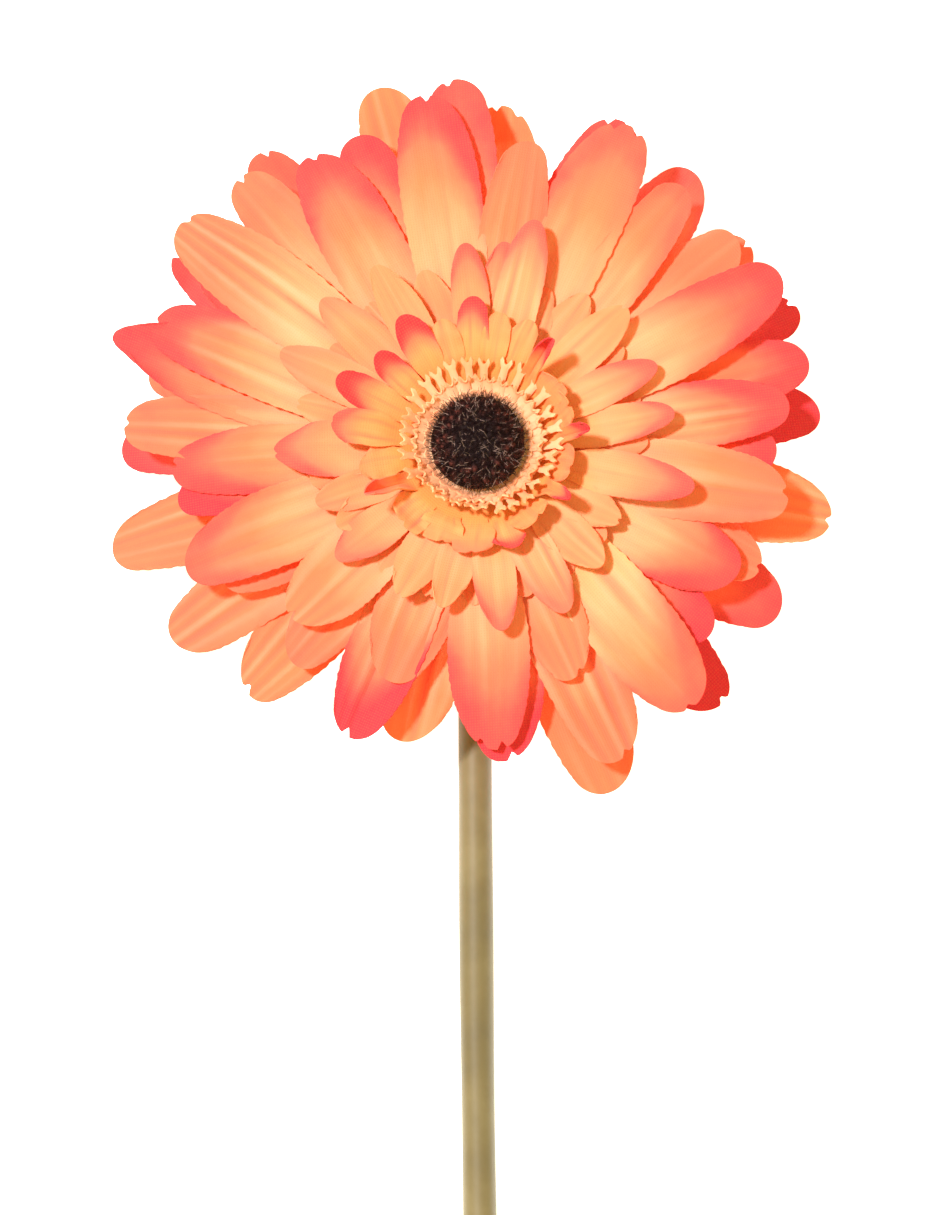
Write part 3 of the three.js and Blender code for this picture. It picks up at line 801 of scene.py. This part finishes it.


# The first colour is the painted highlight on the pleats' crests.
def dyed_cloth(name, light, claw, pale, body, blush, pink):
    material, tree = new_material(name)
    seat = add(tree, "ShaderNodeUVMap", uv_map="Cloth").outputs[0]
    dye = add(tree, "ShaderNodeVertexColor", layer_name="Dye_and_painted_light")
    parts = add(tree, "ShaderNodeSeparateColor", {"Color": dye.outputs["Color"]})
    # From the claw to the tip the ground colour runs from the claw's yellow to the body colour.
    # Streaks along the petal and its own tone move it a little.
    long_seat = add(tree, "ShaderNodeMapping", {"Vector": seat}, Scale=(0.5, 3.0, 1.0))
    streak = add(tree, "ShaderNodeTexNoise", {"Vector": long_seat.outputs[0]}, Scale=1.5,
                 Detail=3.0)
    moved = add(tree, "ShaderNodeMath", {0: streak.outputs["Fac"], 2: parts.outputs[0]},
                operation="MULTIPLY_ADD")
    moved.inputs[1].default_value = 0.3
    toned = add(tree, "ShaderNodeMath", {0: dye.outputs["Alpha"], 2: moved.outputs[0]},
                operation="MULTIPLY_ADD")
    toned.inputs[1].default_value = 0.2
    ground = add(tree, "ShaderNodeValToRGB", {"Fac": toned.outputs[0]})
    stops = ground.color_ramp.elements
    stops[0].position, stops[0].color = 0.25, linear(claw)
    stops[1].position, stops[1].color = 1.0, linear(body)
    stops.new(0.65).color = linear(pale)
    # The airbrushed pink is patchy where it starts.
    blotch = add(tree, "ShaderNodeTexNoise", {"Vector": seat}, Scale=1.6, Detail=5.0)
    patchy = add(tree, "ShaderNodeMath", {0: blotch.outputs["Fac"]}, operation="SUBTRACT")
    patchy.inputs[1].default_value = 0.5
    sprayed = add(tree, "ShaderNodeMath", {0: patchy.outputs[0], 2: parts.outputs[1]},
                  operation="MULTIPLY_ADD")
    sprayed.inputs[1].default_value = 0.35
    spray = add(tree, "ShaderNodeMapRange", {"Value": sprayed.outputs[0]}, From_Min=0.08,
                From_Max=0.95)
    heart = add(tree, "ShaderNodeMapRange", {"Value": sprayed.outputs[0]}, From_Min=0.6,
                From_Max=1.1)
    # Painted shade darkens the pleats' grooves and a painted highlight lightens their crests.
    painted_groove_shade = add(tree, "ShaderNodeMapRange", {"Value": parts.outputs[2]}, From_Min=0.1,
                 From_Max=0.52, To_Min=0.55, To_Max=0.0)
    painted_pleat_light = add(tree, "ShaderNodeMapRange", {"Value": parts.outputs[2]}, From_Min=0.55,
                From_Max=0.95, To_Min=0.0, To_Max=0.34)
    painted_pleats = blend(tree, painted_groove_shade.outputs[0], ground.outputs[0], blush)
    painted_pleats = blend(tree, painted_pleat_light.outputs[0], painted_pleats, light)
    blushed = blend(tree, spray.outputs[0], painted_pleats, blush)
    dyed = blend(tree, heart.outputs[0], blushed, pink)
    # The gaps between threads are drawn a little towards the body colour.
    relief = weave_of(tree, seat)
    gap = add(tree, "ShaderNodeMapRange", {"Value": relief}, From_Min=0.7, From_Max=1.5,
              To_Min=0.16, To_Max=0.0)
    colour = blend(tree, gap.outputs[0], dyed, body)
    bump = add(tree, "ShaderNodeBump", {"Height": relief}, Strength=0.35, Distance=0.00008)
    face = add(tree, "ShaderNodeBsdfPrincipled", {"Base Color": colour, "Normal": bump.outputs[0]},
               Roughness=0.85, IOR=1.45)
    face.inputs["Specular IOR Level"].default_value = 0.2
    face.inputs["Sheen Weight"].default_value = 0.12
    face.inputs["Sheen Roughness"].default_value = 0.5
    through = add(tree, "ShaderNodeBsdfTranslucent", {"Color": colour, "Normal": bump.outputs[0]})
    both = add(tree, "ShaderNodeMixShader", {1: face.outputs[0], 2: through.outputs[0]})
    both.inputs[0].default_value = 0.45
    add(tree, "ShaderNodeOutputMaterial", {"Surface": both.outputs[0]})
    return material


dress(dyed_cloth("dyed_polyester_long_petals", "#fcdec6", "#f8c86a", "#f8b68c", "#f88e64",
                 "#f26d60", "#da3e50"),
      "back_petals", "middle_petals", "front_petals")
dress(dyed_cloth("dyed_polyester_short_petals", "#fcdabc", "#f8ae5a", "#f8ae80", "#f89c70",
                 "#f27668", "#dc4450"),
      "lower_short_petals", "upper_short_petals")
dress(dyed_cloth("dyed_polyester_cup_petals", "#f8c894", "#f6a65c", "#f6aa6e", "#f69c6a",
                 "#f06a62", "#de3e4a"),
      "cup_petals")

# %% [markdown]
# ### Moulded polyethylene
# The stem, the calyx and the florets are injection-moulded polyethylene: a soft satin plastic,
# a little see-through where it is thin, and mottled by shades that were not mixed through. The
# stem has a faint pale bloom, which shows most where it curves away from the eye.

# %% Moulded plastics
def moulded(name, dark, mid, light, mottle, grain, roughness=0.5, clear=0.0, bloom=0.0):
    """A satin plastic in three shades, with "clear" as the share of light that comes through it."""
    material, tree = new_material(name)
    place = add(tree, "ShaderNodeTexCoord").outputs["Object"]
    cloud = add(tree, "ShaderNodeTexNoise", {"Vector": place}, Scale=mottle, Detail=4.0)
    shades = add(tree, "ShaderNodeValToRGB", {"Fac": cloud.outputs["Fac"]})
    stops = shades.color_ramp.elements
    stops[0].position, stops[0].color = 0.33, linear(dark)
    stops[1].position, stops[1].color = 0.68, linear(light)
    stops.new(0.5).color = linear(mid)
    fine = add(tree, "ShaderNodeTexNoise", {"Vector": place}, Scale=grain, Detail=3.0)
    bump = add(tree, "ShaderNodeBump", {"Height": fine.outputs["Fac"]}, Strength=0.3,
               Distance=0.0001)
    body = add(tree, "ShaderNodeBsdfPrincipled",
               {"Base Color": shades.outputs[0], "Normal": bump.outputs[0]},
               Roughness=roughness, IOR=1.5)
    body.inputs["Sheen Weight"].default_value = bloom
    surface = body.outputs[0]
    if clear:
        through = add(tree, "ShaderNodeBsdfTranslucent", {"Color": shades.outputs[0]})
        both = add(tree, "ShaderNodeMixShader", {1: surface, 2: through.outputs[0]})
        both.inputs[0].default_value = clear
        surface = both.outputs[0]
    add(tree, "ShaderNodeOutputMaterial", {"Surface": surface})
    return material


# The two scales are waves to the metre: shade patches of about 10 mm, and a grain of about 1 mm.
dress(moulded("moulded_polyethylene_stem", "#55472c", "#5e4f30", "#695a3b", mottle=90.0,
              grain=900.0, roughness=0.55, bloom=0.3),
      "stem")
dress(moulded("moulded_polyethylene_calyx", "#7f8a44", "#8f9850", "#a3a862", mottle=150.0,
              grain=1200.0),
      "calyx", "outer_sepals", "inner_sepals")
dress(moulded("moulded_polyethylene_florets", "#fab88c", "#fdc8a0", "#ffd6b2", mottle=160.0,
              grain=1500.0, clear=0.4),
      "outer_florets", "inner_florets")
dress(moulded("moulded_polyethylene_post", "#d0c9a4", "#d8d2b0", "#e0dab8", mottle=150.0,
              grain=1500.0),
      "centre_post")

# %% [markdown]
# ### Flock and wire
# Flock is short nylon fibre stuck upright in glue: almost black, redder where it is thin over
# the bumps at the rim. The wire is drawn steel with fine lines along it.

# %% Flock
material, tree = new_material("nylon_flock")
dye = add(tree, "ShaderNodeVertexColor", layer_name="Dye_and_painted_light")
parts = add(tree, "ShaderNodeSeparateColor", {"Color": dye.outputs["Color"]})
rim = add(tree, "ShaderNodeMapRange", {"Value": parts.outputs[0]}, From_Min=0.4, From_Max=0.95)
red = add(tree, "ShaderNodeMath", {0: rim.outputs[0], 1: parts.outputs[1]}, operation="MULTIPLY")
seat = add(tree, "ShaderNodeTexCoord")
grain = add(tree, "ShaderNodeTexNoise", {"Vector": seat.outputs["Object"]}, Scale=2500.0,
            Detail=3.0)
shade = blend(tree, red.outputs[0], "#16080b", "#7c3c34")
bump = add(tree, "ShaderNodeBump", {"Height": grain.outputs["Fac"]}, Strength=0.8, Distance=0.0003)
flock = add(tree, "ShaderNodeBsdfPrincipled", {"Base Color": shade, "Normal": bump.outputs[0]},
            Roughness=0.7, IOR=1.5)
flock.inputs["Specular IOR Level"].default_value = 0.12
add(tree, "ShaderNodeOutputMaterial", {"Surface": flock.outputs[0]})
dress(material, "button")

# %% Fibres
material, tree = new_material("nylon_fibre")
dye = add(tree, "ShaderNodeVertexColor", layer_name="Dye_and_painted_light")
parts = add(tree, "ShaderNodeSeparateColor", {"Color": dye.outputs["Color"]})
# Most fibres are near black, and the few with the highest share are painted pale as glints.
shade = add(tree, "ShaderNodeValToRGB", {"Fac": parts.outputs[1]})
stops = shade.color_ramp.elements
stops[0].position, stops[0].color = 0.84, linear("#1e0c0e")
stops[1].position, stops[1].color = 0.96, linear("#b89894")
fibre = add(tree, "ShaderNodeBsdfPrincipled", {"Base Color": shade.outputs[0]}, Roughness=0.3,
            IOR=1.53)
add(tree, "ShaderNodeOutputMaterial", {"Surface": fibre.outputs[0]})
dress(material, "button_fibres")

# %% Drawn steel
material, tree = new_material("drawn_steel_wire")
seat = add(tree, "ShaderNodeTexCoord")
stretch = add(tree, "ShaderNodeMapping", {"Vector": seat.outputs["Object"]},
              Scale=(1.0, 0.02, 1.0))
lines = add(tree, "ShaderNodeTexNoise", {"Vector": stretch.outputs[0]}, Scale=4000.0)
shade = add(tree, "ShaderNodeValToRGB", {"Fac": lines.outputs["Fac"]})
stops = shade.color_ramp.elements
stops[0].color, stops[1].color = linear("#6f6f6c"), linear("#a9a9a4")
steel = add(tree, "ShaderNodeBsdfPrincipled", {"Base Color": shade.outputs[0]}, Roughness=0.35,
            Metallic=1.0)
add(tree, "ShaderNodeOutputMaterial", {"Surface": steel.outputs[0]})
dress(material, "stem_wire")

# %% [markdown]
# ## Floor and lights
# The flower lies on a white acrylic table lit from below, as a studio uses to keep shadows off
# the ground. A small soft light at the upper left lets each petal throw a short shadow on the
# next, and a bright warm surround fills the rest, as light does between so many orange petals.

# %% Floor
HALF_TABLE = 6.0  # metres, wide enough to fill the view from any side
GLOW = 0.85
bm = bmesh.new()
bmesh.ops.create_grid(bm, x_segments=1, y_segments=1, size=HALF_TABLE)
mesh = bpy.data.meshes.new("floor")
bm.to_mesh(mesh)
bm.free()
floor = bpy.data.objects.new("floor", mesh)
bpy.context.collection.objects.link(floor)
material, tree = new_material("white_table")
paint = add(tree, "ShaderNodeBsdfPrincipled", Roughness=0.9)
paint.inputs["Base Color"].default_value = linear("#f8f8f8")
paint.inputs["Emission Color"].default_value = (1, 1, 1, 1)
paint.inputs["Emission Strength"].default_value = GLOW
add(tree, "ShaderNodeOutputMaterial", {"Surface": paint.outputs[0]})
mesh.materials.append(material)

# %% Lights
def soft_light(name, place, size, power):
    data = bpy.data.lights.new(name, "AREA")
    data.shape = "SQUARE"
    data.size = size
    data.energy = power
    lamp = bpy.data.objects.new(name, data)
    bpy.context.collection.objects.link(lamp)
    lamp.location = head + Vector(place)
    lamp.rotation_mode = "QUATERNION"
    lamp.rotation_quaternion = (-Vector(place)).to_track_quat("-Z", "Y")
    print(name, "light", size, "m across,", power, "W")


soft_light("key", place=(-0.65, 0.4, 1.6), size=0.15, power=56)
soft_light("fill", place=(0.9, -0.6, 1.4), size=1.2, power=4)
world = bpy.data.worlds.new("studio")
world.use_nodes = True
surround = world.node_tree.nodes["Background"]
surround.inputs["Color"].default_value = (1, 0.92, 0.33, 1)
surround.inputs["Strength"].default_value = 0.98
bpy.context.scene.world = world
bpy.context.scene.view_settings.view_transform = "Standard"
